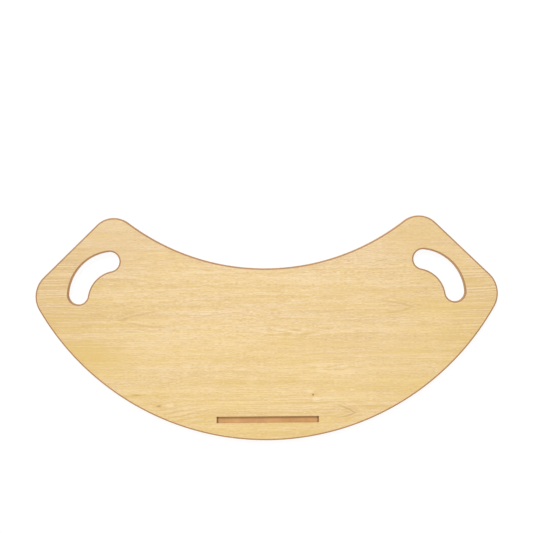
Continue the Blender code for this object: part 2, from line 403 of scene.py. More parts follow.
def layer_patches(paths, levels, edge_material, below=(), above=()):
    """Patches of a flat layer: its edges, and its faces, each with further openings of its own."""
    inset, heights, _ = levels
    patches = [edge_patch(path, levels, edge_material) for path in paths]
    for row, facing, openings in ((0, DOWN, below), (-1, UP, above)):
        loops = [points - inset[row] * normals for points, normals, _ in paths]
        patches.append(flat_patch([*loops, *openings], heights[row], facing, MAIN))
    return patches


def built_piece(name, patches, materials, slot, *nodes):
    """Object from patches whose shared points are joined, standing for the nodes that it replaces."""
    sizes = np.cumsum([0] + [len(patch[0]) for patch in patches])
    points, joined = np.unique(np.vstack([patch[0] for patch in patches]), axis=0,
                               return_inverse=True)
    joined = joined.ravel()
    faces, normals, uvs, numbers = [], [], [], []
    for start, (_, corners, lean, uv, number) in zip(sizes, patches):
        faces += joined[corners + start].tolist()
        normals.append(np.asarray(lean).reshape(-1, 3))
        uvs.append(np.asarray(uv).reshape(-1, 2))
        numbers.append(np.full(len(corners), number))
    mesh = bpy.data.meshes.new(name)
    mesh.from_pydata(points.tolist(), [], faces)
    mesh.polygons.foreach_set("use_smooth", np.ones(len(faces), bool))
    mesh.polygons.foreach_set("material_index", np.concatenate(numbers).astype(np.int32))
    layer = mesh.uv_layers.new(name="run")
    layer.data.foreach_set("uv", np.concatenate(uvs).astype(np.float32).ravel())
    mesh.normals_split_custom_set(np.concatenate(normals).tolist())
    for material in materials:
        mesh.materials.append(material)
    piece = bpy.data.objects.new(name, mesh)
    bpy.context.scene.collection.objects.link(piece)
    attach(piece, BODY)
    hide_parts(*nodes)
    return piece


# Materials

def add_node(tree, kind, inputs=None, **settings):
    """Shader node with its settings, whose named inputs take a value or another node's socket."""
    made = tree.nodes.new(kind)
    for key, value in settings.items():
        setattr(made, key, value)
    fill_inputs(tree, made, inputs or {})
    return made


def fill_inputs(tree, node, inputs):
    """Gives each named input of a node its value, or joins another node's socket to it."""
    for key, value in inputs.items():
        if isinstance(value, bpy.types.NodeSocket):
            tree.links.new(value, node.inputs[key])
        else:
            node.inputs[key].default_value = value


def maths(tree, operation, first, second=0.0, third=0.0):
    """Result of one operation on values or sockets."""
    made = add_node(tree, "ShaderNodeMath", {0: first, 1: second, 2: third}, operation=operation)
    return made.outputs[0]


def split(tree, vector):
    """The three numbers of a vector."""
    return add_node(tree, "ShaderNodeSeparateXYZ", {0: vector}).outputs


def to_vector(tree, x, y, z=0.0):
    """Vector of three numbers."""
    return add_node(tree, "ShaderNodeCombineXYZ", {"X": x, "Y": y, "Z": z}).outputs[0]


def at_depth(tree, lines, depth):
    """The same lines at another depth, where the noise on them is another."""
    return add_node(tree, "ShaderNodeVectorMath", {0: lines, 1: (0.0, 0.0, depth)}).outputs[0]


def stretched_noise(tree, vector, scale, detail=1.0, roughness=0.5):
    """Noise whose vector is first multiplied by a scale for X, for Y and, if given, for Z, per metre."""
    spread = add_node(tree, "ShaderNodeVectorMath", {0: vector, 1: (*scale, 1.0)[:3]},
                      operation="MULTIPLY")
    noise = add_node(tree, "ShaderNodeTexNoise",
                     {"Vector": spread.outputs[0], "Scale": 1.0, "Detail": detail,
                      "Roughness": roughness})
    return noise.outputs["Fac"]


def ramp(tree, value, low, high, out_low=0.0, out_high=1.0):
    """Value carried smoothly from one range to another and held at its ends."""
    made = add_node(tree, "ShaderNodeMapRange",
                    {"Value": value, "From Min": low, "From Max": high, "To Min": out_low,
                     "To Max": out_high}, interpolation_type="SMOOTHSTEP")
    return made.outputs["Result"]


def mixed(tree, share, first, second):
    """Colour between two colours."""
    made = add_node(tree, "ShaderNodeMix", {"Factor": share}, data_type="RGBA")
    for name, value in (("A", first), ("B", second)):
        socket = next(s for s in made.inputs if s.name == name and s.type == "RGBA")
        if isinstance(value, bpy.types.NodeSocket):
            tree.links.new(value, socket)
        else:
            socket.default_value = tuple(value)[:3] + (1.0,)
    return next(s for s in made.outputs if s.type == "RGBA")


def new_group(name, inputs, outputs):
    """Node group with named sockets, as the tree, its input node and its output node."""
    tree = bpy.data.node_groups.new(name, "ShaderNodeTree")
    for title, kind, default in inputs:
        socket = tree.interface.new_socket(title, in_out="INPUT", socket_type=kind)
        if default is not None:
            socket.default_value = default
    for title, kind in outputs:
        tree.interface.new_socket(title, in_out="OUTPUT", socket_type=kind)
    return tree, tree.nodes.new("NodeGroupInput"), tree.nodes.new("NodeGroupOutput")


def use_group(tree, group, inputs):
    """Outputs of a group that is placed in a tree."""
    return add_node(tree, "ShaderNodeGroup", inputs, node_tree=group).outputs


def arch_group():
    """Dark ring lines that close in a point.

    The level is the distance across over the width, plus the square of the distance along over the
    length, and is 1 on the main line. The lines lie where the cosine of ARCH_TURNS turns a step of
    the level is near 1. They are multiplied by the exponential of minus ARCH_FADE times the square
    of the level less 1, and fade out towards the middle.
    """
    tree, given, out = new_group(
        "grain_arch",
        [("X", NUMBER, 0.0), ("Y", NUMBER, 0.0), ("Centre X", NUMBER, 0.0),
         ("Centre Y", NUMBER, 0.0), ("Length", NUMBER, 0.05), ("Width", NUMBER, 0.01)],
        [("Line", NUMBER)])
    away_x = maths(tree, "SUBTRACT", given.outputs["X"], given.outputs["Centre X"])
    away_y = maths(tree, "SUBTRACT", given.outputs["Y"], given.outputs["Centre Y"])
    along = maths(tree, "DIVIDE", away_x, given.outputs["Length"])
    side = maths(tree, "DIVIDE", maths(tree, "ABSOLUTE", away_y), given.outputs["Width"])
    level = maths(tree, "MULTIPLY_ADD", along, along, side)
    wave = maths(tree, "COSINE", maths(tree, "MULTIPLY", level, ARCH_TURNS * FULL_TURN))
    off = maths(tree, "SUBTRACT", level, 1.0)
    near = maths(tree, "MULTIPLY", maths(tree, "MULTIPLY", off, off), -ARCH_FADE)
    near = maths(tree, "EXPONENT", near)
    line = maths(tree, "MULTIPLY", ramp(tree, wave, *ARCH_WAVE), near)
    line = maths(tree, "MULTIPLY", line, ramp(tree, along, *ARCH_START))
    fill_inputs(tree, out, {"Line": line})
    return tree


def swirl_group():
    """Smooth bump about a centre.

    It is the exponential of minus the sum of two squares, that of the distance along over the length
    and that of the distance across over the width.
    """
    tree, given, out = new_group(
        "grain_swirl",
        [("Vector", VECTOR, None), ("Centre", VECTOR, None), ("Length", NUMBER, 0.05),
         ("Width", NUMBER, 0.01)],
        [("Bump", NUMBER)])
    away = add_node(tree, "ShaderNodeVectorMath",
                    {0: given.outputs["Vector"], 1: given.outputs["Centre"]}, operation="SUBTRACT")
    parts = split(tree, away.outputs[0])
    along = maths(tree, "DIVIDE", parts["X"], given.outputs["Length"])
    across = maths(tree, "DIVIDE", parts["Y"], given.outputs["Width"])
    square = maths(tree, "MULTIPLY", along, along)
    total = maths(tree, "MULTIPLY_ADD", across, across, square)
    bump = maths(tree, "EXPONENT", maths(tree, "MULTIPLY", total, -1.0))
    fill_inputs(tree, out, {"Bump": bump})
    return tree


# Figure of the oak on the working face. Each row starts with the part's middle, its half length and
# its half width in metres.
# A swirl lifts the growth rings by its last number, in metres, and a knot's swirl the fibres too.
# An arch closes in a point at its half length, to the left if that is below zero. Its last numbers are
# its slope and its strength.
# A slant is a few parallel lines that darken the wood, with a slope, a spacing and a strength.
# A spot darkens the wood, or lightens it if its strength is below zero. The two broad spots at the
# board's ends are painted shade, where the light falls off towards the ends.
# A fleck patch has short wavy streaks, a lined patch long straight lines, and a quiet patch less of
# everything. A warm patch has more of the honey colour, or less if its strength is below zero.
RING_SWIRLS = (
    ((-0.205, -0.152), 0.080, 0.0130, 0.0270),
    ((0.350, -0.010), 0.055, 0.0090, 0.0150),
    ((-0.154, 0.093), 0.070, 0.0100, 0.0160),
    ((0.030, -0.010), 0.060, 0.0090, 0.0130),
)
KNOT_SWIRLS = (
    ((0.088, -0.1275), 0.016, 0.0050, 0.0045),
    ((-0.206, -0.147), 0.018, 0.0045, 0.0035),
)
ARCHES = (
    ((0.1195, -0.1563), 0.048, 0.0130, -0.120, 1.00),
    ((-0.1700, 0.0200), -0.110, 0.0170, 0.020, 0.50),
    ((0.1900, 0.0400), 0.090, 0.0140, -0.020, 0.50),
)
SLANTS = (
    ((-0.1586, -0.1639), 0.038, 0.0150, 0.19, 0.0090, 0.85),
)
SPOTS = (
    ((0.0867, -0.1268), 0.0022, 0.0021, 1.6),
    ((0.0910, -0.1262), 0.0050, 0.0028, 0.50),
    ((0.0928, -0.1337), 0.0052, 0.0024, -2.0),
    ((0.0800, -0.1205), 0.0070, 0.0034, -1.0),
    ((0.1140, -0.1330), 0.0120, 0.0018, -0.8),
    ((0.1350, -0.1420), 0.0100, 0.0020, -0.6),
    ((0.1521, -0.1470), 0.0090, 0.0018, -0.5),
    ((0.1997, -0.1499), 0.0280, 0.0016, 0.80),
    ((0.2210, -0.1142), 0.0300, 0.0040, 0.22),
    ((0.2551, -0.1279), 0.0180, 0.0045, 0.30),
    ((0.4055, 0.0815), 0.0280, 0.0009, 0.70),
    ((0.1605, -0.1177), 0.0045, 0.0018, -0.9),
    ((0.1247, -0.1190), 0.0040, 0.0016, -0.7),
    ((0.0967, -0.0680), 0.0140, 0.0070, -0.5),
    ((0.1024, -0.0805), 0.0100, 0.0030, -0.8),
    ((0.1405, -0.0834), 0.0100, 0.0025, -0.8),
    ((-0.2074, -0.1463), 0.0075, 0.0030, 0.9),
    ((-0.1960, -0.1500), 0.0100, 0.0018, 0.5),
    ((-0.2220, -0.1400), 0.0140, 0.0070, 0.35),
    ((-0.1860, -0.1446), 0.0070, 0.0026, -1.6),
    ((-0.2480, -0.1250), 0.0150, 0.0018, 0.85),
    ((-0.2660, -0.1268), 0.0140, 0.0016, 0.75),
    ((-0.1880, -0.1590), 0.0160, 0.0012, 0.60),
    # Painted shade: the next two broad spots darken the face towards its ends, where the light falls off
    ((-0.420, 0.010), 0.1000, 0.1000, 0.32),
    ((0.420, 0.030), 0.1000, 0.0900, 0.32),
    ((-0.290, 0.150), 0.1400, 0.0600, 0.13),
    ((0.290, 0.160), 0.1000, 0.0700, 0.20),
    ((-0.350, -0.045), 0.0600, 0.0320, 0.54),
    ((-0.165, 0.107), 0.0600, 0.0300, 0.07),
    ((-0.060, 0.110), 0.1500, 0.0380, 0.15),
    ((0.325, -0.045), 0.0550, 0.0300, -0.18),
    ((0.150, -0.100), 0.0600, 0.0250, -0.12),
    ((0.150, -0.060), 0.1000, 0.0300, -0.14),
    ((0.010, -0.130), 0.0900, 0.0300, -0.09),
    ((0.075, 0.075), 0.0500, 0.0300, -0.10),
)
FLECKS = (
    ((0.045, -0.008), 0.050, 0.0110, 3.0),
    ((0.115, -0.075), 0.050, 0.0140, 2.0),
)
LINED = (
    ((-0.410, 0.090), 0.070, 0.100, 1.00),
    ((-0.330, -0.040), 0.090, 0.060, 0.45),
    ((0.420, 0.040), 0.065, 0.110, 1.15),
    ((0.000, -0.150), 0.110, 0.040, 0.52),
)
QUIET = (
    ((-0.300, 0.170), 0.120, 0.070, -0.60),
    ((0.300, 0.170), 0.120, 0.070, -0.55),
    ((0.245, -0.040), 0.080, 0.045, -0.42),
    ((0.065, -0.015), 0.070, 0.045, -0.14),
    ((-0.420, 0.060), 0.060, 0.080, -0.20),
)
WARM_PATCHES = (
    ((0.0928, -0.1337), 0.0070, 0.0035, -0.60),
    ((-0.370, 0.100), 0.090, 0.040, -0.40),
    ((-0.355, -0.055), 0.060, 0.035, 0.62),
    ((-0.280, 0.105), 0.040, 0.035, -0.25),
    ((0.255, 0.105), 0.040, 0.035, -0.22),
    ((0.330, 0.010), 0.050, 0.040, 0.35),
    ((0.170, -0.055), 0.070, 0.040, -0.30),
    ((0.290, 0.170), 0.090, 0.050, 0.30),
)

# Turns of an arch's wave over a step of its level, how fast its lines fade beside the main one, what
# they add to the tone and to the brown, and the strength from which a spot is brown too
ARCH_TURNS = 2
ARCH_FADE = 5.0
ARCH_TONE = 0.4
ARCH_BROWN = 0.3
BROWN_SPOT = 0.8

# Share of the straight lines where no patch is, and share of the fibre layers without any straight
# lines and what these take from it
LEAST_LINED = 0.12
FIBRE_SHARE = 0.95
FIBRE_LOSS = 0.25

# Painted light: what a metre towards the sitter takes from the tone and from the warmth, so that the
# face is paler and cooler on the side that the light and its sheen come from
PAINTED_LIGHT_FADE = 0.45
PAINTED_LIGHT_COOLING = 2.0

# Noises that bend the lines: frequency along and across them, per metre, and reach in metres, or in
# lines for the even ones. The short bend loses STRAIGHTER of its reach where the wood is lined.
LONG_BEND = ((3.0, 12.0), 0.012)
SHORT_BEND = ((24.0, 60.0), 0.0045)
STRAIGHTER = 0.0028
FIGURE_BEND = ((26.0, 90.0), 0.006)
LINE_BEND = ((2.0, 45.0), 1.3)

# Other noises on the lines: how deep the even lines are, the flecks, where the early wood is, its pores
# and the surface's relief
LINE_DEPTH = (7.0, 140.0)
FLECK_NOISE = (38.0, 260.0)
EARLY_WOOD = (2.0, 70.0)
PORES = (130.0, 2600.0)
RELIEF = (110.0, 1050.0)

# From where to where a wave or a noise takes hold, and in two rows what it then becomes: an arch's wave
# and its start, a slant's wave, the depth of the even lines, pores, early wood and brown spots
ARCH_WAVE = (-1.0, 0.9)
ARCH_START = (0.0, 0.8)
SLANT_WAVE = (0.0, 1.0, -0.5, 1.0)
DEPTH_RANGE = (0.35, 0.65, 0.3, 1.5)
PORE_RANGE = (0.62, 0.74)
EARLY_RANGE = (0.42, 0.60)
BROWN_RANGE = (0.4, 1.2)

# Layers of the grain: frequency along and across the lines, per metre, and the share that each adds
# to the tone. The straight ones show in the lined patches, and so do the even lines, whose number per
# metre and share stand in a row. The warm layers change the warmth instead. A depth is the place in
# the noise's third direction that keeps its layers apart from the rest.
RING_LAYERS = (
    ((2.0, 20.0), 0.80),
    ((3.0, 70.0), 0.80),
    ((4.0, 200.0), 0.76),
)
FIBRE_LAYERS = (
    ((8.0, 110.0), 0.75),
    ((20.0, 220.0), 0.82),
    ((32.0, 560.0), 1.05),
    ((48.0, 1050.0), 2.20),
    ((150.0, 1700.0), 3.00),
)
STRAIGHT_LAYERS = (
    ((3.5, 420.0), 0.60),
    ((4.5, 700.0), 2.10),
    ((9.0, 1300.0), 1.30),
)
EVEN_LINES = (
    (168.0, 0.22),
    (205.0, 0.18),
    (245.0, 0.26),
)
WARM_LAYERS = (
    ((2.5, 16.0), 1.1),
    ((8.0, 70.0), 1.3),
    ((60.0, 420.0), 1.3),
    ((120.0, 900.0), 1.6),
)
RING_DEPTH = 0.3
WARM_DEPTH = 5.0


def bump_at(tree, group, vector, centre, half_length, half_width):
    """Bump of a swirl or a spot whose middle lies on the face."""
    return use_group(tree, group, {"Vector": vector, "Centre": (*centre, 0.0),
                                   "Length": half_length, "Width": half_width})["Bump"]


def summed_layers(tree, lines, layers):
    """Sum of each layer's noise about zero times its share, read on those lines."""
    total = -sum(share for _, share in layers) / 2
    for frequency, share in layers:
        layer = stretched_noise(tree, lines, frequency)
        total = maths(tree, "MULTIPLY_ADD", layer, share, total)
    return total


def summed_lines(tree, lines, rows):
    """Sum of rows of dark lines at nearly even steps.

    A row is the cosine of its count times y plus a wander, in full turns, times a depth that changes
    over the face, times its share.
    """
    across = split(tree, lines)["Y"]
    frequency, reach = LINE_BEND
    total = 0.0
    for count, share in rows:
        aside = at_depth(tree, lines, count)
        wander = maths(tree, "MULTIPLY", stretched_noise(tree, aside, frequency), reach)
        turns = maths(tree, "MULTIPLY_ADD", across, count, wander)
        wave = maths(tree, "COSINE", maths(tree, "MULTIPLY", turns, FULL_TURN))
        depth = ramp(tree, stretched_noise(tree, aside, LINE_DEPTH), *DEPTH_RANGE)
        wave = maths(tree, "MULTIPLY", wave, depth)
        total = maths(tree, "MULTIPLY_ADD", wave, share, total)
    return total


def patched(tree, group, vector, patches, base):
    """Base plus each patch's bump times its strength."""
    total = base
    for *place, strength in patches:
        total = maths(tree, "MULTIPLY_ADD", bump_at(tree, group, vector, *place), strength, total)
    return total


def bent(tree, vector, bend, base):
    """Base plus a bend's noise times its reach."""
    frequency, reach = bend
    return maths(tree, "MULTIPLY_ADD", stretched_noise(tree, vector, frequency), reach, base)


def fibres_group(swirl):
    """Lines that the oak's fibres follow: y, bent by two slow noises and by the knots."""
    tree, given, out = new_group("oak_fibres", [("Vector", VECTOR, None)],
                                 [("Fibres", VECTOR), ("Straight", NUMBER)])
    place = split(tree, given.outputs["Vector"])
    vector = to_vector(tree, place["X"], place["Y"])
    straight = patched(tree, swirl, vector, LINED, LEAST_LINED)
    frequency, reach = SHORT_BEND
    reach = maths(tree, "MULTIPLY_ADD", straight, -STRAIGHTER, reach)
    field = bent(tree, vector, LONG_BEND, place["Y"])
    field = bent(tree, vector, (frequency, reach), field)
    field = patched(tree, swirl, vector, KNOT_SWIRLS, field)
    fill_inputs(tree, out, {"Fibres": to_vector(tree, place["X"], field), "Straight": straight})
    return tree


def relief_group(lines):
    """Open pores of the oak's early wood, and the height of its surface."""
    tree, given, out = new_group("oak_relief", [("Vector", VECTOR, None)],
                                 [("Pore", NUMBER), ("Height", NUMBER)])
    fibres = use_group(tree, lines, {"Vector": given.outputs["Vector"]})["Fibres"]
    early = stretched_noise(tree, fibres, EARLY_WOOD)
    pores = stretched_noise(tree, fibres, PORES, detail=0.0)
    pore = maths(tree, "MULTIPLY", ramp(tree, pores, *PORE_RANGE), ramp(tree, early, *EARLY_RANGE))
    height = maths(tree, "MULTIPLY_ADD", pore, -1.0, stretched_noise(tree, fibres, RELIEF))
    fill_inputs(tree, out, {"Pore": pore, "Height": height})
    return tree


def with_slants(tree, swirl, vector, place, level, tone):
    """Tone plus each slant's wave times its bump and its strength.

    The wave comes from the cosine of y less the slope times x, one turn a spacing. It is highest on
    a line and lightens the wood between two of them.
    """
    for (x, y), half_length, half_width, slope, spacing, strength in SLANTS:
        sloped = maths(tree, "MULTIPLY_ADD", place["X"], -slope, level)
        turns = maths(tree, "MULTIPLY", maths(tree, "ADD", sloped, slope * x - y),
                      FULL_TURN / spacing)
        wave = ramp(tree, maths(tree, "COSINE", turns), *SLANT_WAVE)
        wave = maths(tree, "MULTIPLY", wave,
                     bump_at(tree, swirl, vector, (x, y), half_length, half_width))
        tone = maths(tree, "MULTIPLY_ADD", wave, strength, tone)
    return tone


def arch_lines(tree, arch, place, level):
    """Sum of the arches' lines times their strengths, each read on y less its slope times x."""
    total = 0.0
    for (x, y), half_length, half_width, slope, strength in ARCHES:
        sloped = maths(tree, "MULTIPLY_ADD", place["X"], -slope, level)
        found = use_group(tree, arch, {"X": place["X"], "Y": sloped, "Centre X": x,
                                       "Centre Y": y - slope * x, "Length": half_length,
                                       "Width": half_width})
        total = maths(tree, "MULTIPLY_ADD", found["Line"], strength, total)
    return total


def grain_group(lines, swirl, arch):
    """Oak grain over a face in metres, running along X.

    The ring field is the fibre field with the wide swirls added. The tone is one half plus the sum
    of the layers, each a noise about zero that is read on x and its field, less a fade along y that is
    painted light, plus the slants, the arches, the flecks and the spots, of which the two broad ones at
    the ends are painted shade. The warmth is one half plus the warm layers and patches, less a fade
    along y that is painted light. The brown comes from the arches and the strongest spots.
    patches, less a fade along y. The brown comes from the arches and the strongest spots.
    """
    tree, given, out = new_group(
        "oak_grain", [("Vector", VECTOR, None)],
        [("Tone", NUMBER), ("Warmth", NUMBER), ("Brown", NUMBER)])
    place = split(tree, given.outputs["Vector"])
    vector = to_vector(tree, place["X"], place["Y"])
    found = use_group(tree, lines, {"Vector": vector})
    fibres, lined = found["Fibres"], found["Straight"]
    wavy = maths(tree, "MULTIPLY_ADD", lined, -FIBRE_LOSS, FIBRE_SHARE)
    rings = patched(tree, swirl, vector, RING_SWIRLS, split(tree, fibres)["Y"])
    tone = summed_layers(tree, to_vector(tree, place["X"], rings, RING_DEPTH), RING_LAYERS)
    straight = maths(tree, "ADD", summed_layers(tree, fibres, STRAIGHT_LAYERS),
                     summed_lines(tree, fibres, EVEN_LINES))
    for layers, share in ((summed_layers(tree, fibres, FIBRE_LAYERS), wavy), (straight, lined)):
        tone = maths(tree, "MULTIPLY_ADD", layers, share, tone)
    tone = maths(tree, "MULTIPLY_ADD", tone, patched(tree, swirl, vector, QUIET, 1.0), 0.5)
    # Painted light: the face is paler towards the sitter's side, where the light comes from
    tone = maths(tree, "MULTIPLY_ADD", place["Y"], -PAINTED_LIGHT_FADE, tone)
    level = maths(tree, "SUBTRACT", place["Y"], FIGURE_BEND[1] / 2)
    level = bent(tree, vector, FIGURE_BEND, level)
    tone = with_slants(tree, swirl, vector, place, level, tone)
    arches = arch_lines(tree, arch, place, level)
    tone = maths(tree, "MULTIPLY_ADD", arches, ARCH_TONE, tone)
    flecks = maths(tree, "SUBTRACT", stretched_noise(tree, fibres, FLECK_NOISE, detail=0.0), 0.5)
    flecked = patched(tree, swirl, vector, FLECKS, 0.0)
    tone = maths(tree, "MULTIPLY_ADD", flecks, flecked, tone)
    tone = patched(tree, swirl, vector, SPOTS, tone)
    dark = patched(tree, swirl, vector, [spot for spot in SPOTS if spot[3] > BROWN_SPOT], 0.0)
    brown = maths(tree, "MULTIPLY_ADD", arches, ARCH_BROWN, ramp(tree, dark, *BROWN_RANGE))
    warmth = maths(tree, "ADD", summed_layers(tree, at_depth(tree, fibres, WARM_DEPTH), WARM_LAYERS),
                   patched(tree, swirl, vector, WARM_PATCHES, 0.5))
    # Painted light: the face is cooler towards the sitter's side, where the light and its sheen come
    # from
    warmth = maths(tree, "MULTIPLY_ADD", place["Y"], -PAINTED_LIGHT_COOLING, warmth)
    fill_inputs(tree, out, {"Tone": tone, "Warmth": warmth, "Brown": brown})
    return tree


# Frequencies of the noises in the finishes, per metre
BOARD_FIBRES = (900.0, 900.0, 1400.0)
BOARD_PATCHES = (28.0, 28.0, 28.0)
CUTTER_MARKS = (1100.0, 12.0)
SHEET_GRAIN = (700.0, 700.0, 2500.0)
RUBBER_GRAIN = (1800.0, 1800.0, 1800.0)
DUST = (260.0, 260.0, 260.0)

# What the fibres, the scorched patches and the cutter's marks add to the shade of the fibreboard
FIBRE_SHADE = 0.45
PATCH_SHADE = 0.35
MARK_SHADE = 0.20

# From where to where a warmth or a noise changes the colour
HONEY_RANGE = (-0.3, 1.3)
BOARD_RANGE = (0.34, 0.66)
SHEET_RANGE = (0.3, 0.7)
DUST_RANGE = (0.5, 0.8)

# Roughness, which on the oak goes from its palest to its darkest tone
OAK_ROUGHNESS = (0.42, 0.52)
BOARD_ROUGHNESS = 0.62
SHEET_ROUGHNESS = 0.55
RUBBER_ROUGHNESS = 0.82

# Heights of the reliefs in metres, and the most of a colour that shows over another
OAK_RELIEF = 0.00003
BOARD_RELIEF = 0.00006
RUBBER_RELIEF = 0.00008
MOST_HONEY = 0.56
MOST_PORE = 0.35
# The most of the painted shade over the groove's ends
MOST_PAINTED_SHADE = 0.85

# Distances from the groove's end at which its painted shade starts and is full, in metres
PAINTED_SHADE_START = 0.0050
PAINTED_SHADE_FULL = 0.0020

# How much paler than the rubber its dust is, and how far the back sheet's figure is moved, in metres
DUST_PALER = 2.2
BACK_OFFSET = (0.9, 0.31, 0.0)


def oak_groups():
    """The node groups of the oak, as its relief and its grain."""
    swirl = swirl_group()
    lines = fibres_group(swirl)
    return relief_group(lines), grain_group(lines, swirl, arch_group())


def empty_material(name):
    """Material without nodes, and its tree."""
    material = bpy.data.materials.new(name)
    material.use_nodes = True
    material.node_tree.nodes.clear()
    return material, material.node_tree


def new_material(name):
    """Material, its tree and its Principled shader, which is joined to the output."""
    material, tree = empty_material(name)
    shader = tree.nodes.new("ShaderNodeBsdfPrincipled")
    add_node(tree, "ShaderNodeOutputMaterial", {"Surface": shader.outputs["BSDF"]})
    return material, tree, shader


def object_point(tree):
    """The point's place on the object, in metres."""
    return tree.nodes.new("ShaderNodeTexCoord").outputs["Object"]


def add_bump(tree, shader, height, distance):
    """Fine relief on a shader."""
    bump = add_node(tree, "ShaderNodeBump",
                    {"Height": height, "Distance": distance, "Strength": 1.0})
    fill_inputs(tree, shader, {"Normal": bump.outputs["Normal"]})


def oak_material(name, finish, groups, offset):
    """Pale oak laminate with satin lacquer, its figure moved by an offset in metres."""
    material, tree, shader = new_material(name)
    place = add_node(tree, "ShaderNodeMapping", {"Vector": object_point(tree), "Location": offset})
    relief, grain = (use_group(tree, group, {"Vector": place.outputs[0]}) for group in groups)
    wood = mixed(tree, grain["Tone"], finish.oak_light, finish.oak_dark)
    warmth = ramp(tree, grain["Warmth"], *HONEY_RANGE, 0.0, MOST_HONEY)
    wood = mixed(tree, warmth, wood, finish.oak_honey)
    pore = maths(tree, "MULTIPLY_ADD", relief["Pore"], MOST_PORE, grain["Brown"])
    wood = mixed(tree, pore, wood, finish.oak_pore)
    shine = ramp(tree, grain["Tone"], 0.0, 1.0, *OAK_ROUGHNESS)
    fill_inputs(tree, shader, {"Base Color": wood, "Roughness": shine})
    add_bump(tree, shader, relief["Height"], OAK_RELIEF)
    return material


def fibreboard_group():
    """Grain of sealed fibreboard, for its sanded and its routed faces.

    The shade is the sum of fine fibres, faint scorching in patches and the cutter's marks across the
    run, each a noise times its share. The height is the fibres plus the marks.
    """
    tree, given, out = new_group(
        "fibreboard_grain", [("Vector", VECTOR, None), ("Run", VECTOR, None)],
        [("Shade", NUMBER), ("Height", NUMBER)])
    fine = stretched_noise(tree, given.outputs["Vector"], BOARD_FIBRES, detail=2.0, roughness=0.6)
    broad = stretched_noise(tree, given.outputs["Vector"], BOARD_PATCHES, detail=2.0)
    marks = stretched_noise(tree, given.outputs["Run"], CUTTER_MARKS)
    shade = maths(tree, "MULTIPLY", broad, PATCH_SHADE)
    for noise, share in ((fine, FIBRE_SHADE), (marks, MARK_SHADE)):
        shade = maths(tree, "MULTIPLY_ADD", noise, share, shade)
    fill_inputs(tree, out, {"Shade": ramp(tree, shade, *BOARD_RANGE),
                            "Height": maths(tree, "ADD", fine, marks)})
    return tree


def fibreboard_material(name, group, light, dark):
    """Sealed fibreboard between two colours.

    Gives the material, its tree, its shader and the socket of its colour.
    """
    material, tree, shader = new_material(name)
    run = add_node(tree, "ShaderNodeUVMap", uv_map="run").outputs["UV"]
    grain = use_group(tree, group, {"Vector": object_point(tree), "Run": run})
    wood = mixed(tree, grain["Shade"], light, dark)
    fill_inputs(tree, shader, {"Base Color": wood, "Roughness": BOARD_ROUGHNESS})
    add_bump(tree, shader, grain["Height"], BOARD_RELIEF)
    return material, tree, shader, wood


def groove_material(finish, group, half_length):
    """Fibreboard of the groove, darkened at both ends by painted shade that stands for their walls'
    shade.
    """
    material, tree, shader, wood = fibreboard_material("routed_fibreboard", group,
                                                       finish.groove_light, finish.groove_dark)
    middle = maths(tree, "ABSOLUTE", split(tree, object_point(tree))["X"])
    away = maths(tree, "SUBTRACT", half_length, middle)
    # Painted shade: darker over the last few millimetres before each end of the groove
    painted_shade = ramp(tree, away, PAINTED_SHADE_START, PAINTED_SHADE_FULL, 0.0, MOST_PAINTED_SHADE)
    wood = mixed(tree, painted_shade, wood, finish.groove_painted_shade)
    fill_inputs(tree, shader, {"Base Color": wood})
    return material


def sheet_edge_material(finish):
    """Brown cut edge of the laminate."""
    material, tree, shader = new_material("laminate_edge")
    fine = stretched_noise(tree, object_point(tree), SHEET_GRAIN, detail=2.0)
    tone = mixed(tree, ramp(tree, fine, *SHEET_RANGE), finish.sheet_edge, finish.fibre_dark)
    fill_inputs(tree, shader, {"Base Color": tone, "Roughness": SHEET_ROUGHNESS})
    return material


def rubber_material(finish):
    """Matt moulded rubber with a fine grain and a little dust."""
    material, tree, shader = new_material("moulded_rubber")
    point = object_point(tree)
    grain = stretched_noise(tree, point, RUBBER_GRAIN)
    dust = stretched_noise(tree, point, DUST, detail=3.0)
    pale = tuple(min(1.0, value * DUST_PALER) for value in finish.rubber)
    tone = mixed(tree, ramp(tree, dust, *DUST_RANGE), finish.rubber, pale)
    fill_inputs(tree, shader, {"Base Color": tone, "Roughness": RUBBER_ROUGHNESS})
    add_bump(tree, shader, grain, RUBBER_RELIEF)
    return material


def white_stage_material(finish, view):
    """White floor that keeps its shadows, looks plain white to a share and is clear from below.

    Lighting rays find it as bright as it is in the open, so that it lights the underside evenly.
    """
    material, tree = empty_material("white_floor")
    material.cycles.emission_sampling = "NONE"
    white = tuple(finish.floor) + (1.0,)
    plain = add_node(tree, "ShaderNodeBsdfDiffuse", {"Color": white}).outputs[0]
    glow, light = (add_node(tree, "ShaderNodeEmission", {"Color": white, "Strength": level}).outputs[0]
                   for level in (view.glow, view.floor_light))
    clear = tree.nodes.new("ShaderNodeBsdfTransparent").outputs[0]
    below = tree.nodes.new("ShaderNodeNewGeometry").outputs["Backfacing"]
    look = plain
    for share, other in ((view.backdrop, glow), (maths(tree, "SUBTRACT", 1.0, seen_rays(tree)), light),
                         (below, clear)):
        look = add_node(tree, "ShaderNodeMixShader", {0: share, 1: look, 2: other}).outputs[0]
    add_node(tree, "ShaderNodeOutputMaterial", {"Surface": look})
    return material


def seen_rays(tree):
    """One for rays from the camera, mirrored rays and rays through glass, zero for lighting rays."""
    path = tree.nodes.new("ShaderNodeLightPath")
    seen = maths(tree, "MAXIMUM", path.outputs["Is Camera Ray"], path.outputs["Is Glossy Ray"])
    return maths(tree, "MAXIMUM", seen, path.outputs["Is Transmission Ray"])


# Stage, in metres. A way leads from the desk to a light, a spread is the sun's width in degrees, and
# the camera's sensor is in millimetres.
FLOOR_HALF = 6.0
KEY_WAY = (-0.25, 0.78, 1.0)
FILL_WAY = (0.0, -1.0, 0.06)
SUN_SPREAD = 12
LAMP_HEIGHT = 1.25
LAMP_SIZE = 0.9
SENSOR_WIDTH = 36.0


# Operators

